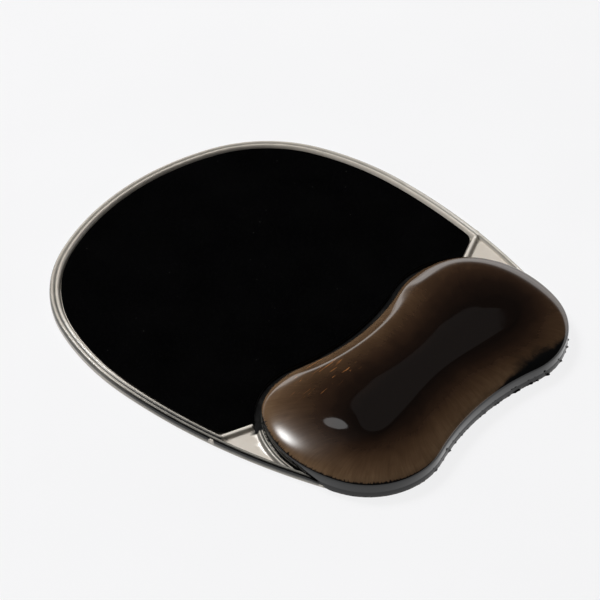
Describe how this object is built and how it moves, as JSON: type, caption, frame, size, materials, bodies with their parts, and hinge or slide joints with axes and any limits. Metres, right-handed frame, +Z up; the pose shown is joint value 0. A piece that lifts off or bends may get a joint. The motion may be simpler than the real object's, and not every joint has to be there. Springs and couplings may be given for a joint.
{
  "type": "wrist rest",
  "caption": "Gel wrist rest with a built-in mouse surface: a glossy smoky-brown gel cushion with waisted sides across the front of a clear-rimmed tray that holds a black fabric mat.",
  "frame": {"origin": "middle of the footprint, on the desk", "axes": "+X to the user's right, +Y away from the user from the gel rest towards the rounded rear end, +Z up"},
  "size_m": [0.197, 0.2353, 0.0152],
  "materials": {
    "sheet_rubber": "milky soft non-slip film with a fine grip texture",
    "tray_plastic": "moulded smoke-clear plastic, glossy",
    "adhesive": "clear adhesive film",
    "mat_rubber": "black sponge rubber",
    "mat_fabric": "black close-knit polyester, matt with fine pale fibre specks",
    "backing_film": "smoky film welded to the skin round its edge",
    "gel": "clear smoky-brown soft gel",
    "gel_skin": "glossy smoky-brown clear film"
  },
  "bodies": {
    "root": {"non_slip_sheet": "sheet_rubber", "base_tray": "tray_plastic", "mat_adhesive_film": "adhesive", "mat_rubber_core": "mat_rubber", "mat_fabric_top": "mat_fabric", "rest_adhesive_film": "adhesive", "gel_backing_sheet": "backing_film", "gel_core": "gel", "gel_skin": "gel_skin"}
  },
  "joints": []
}
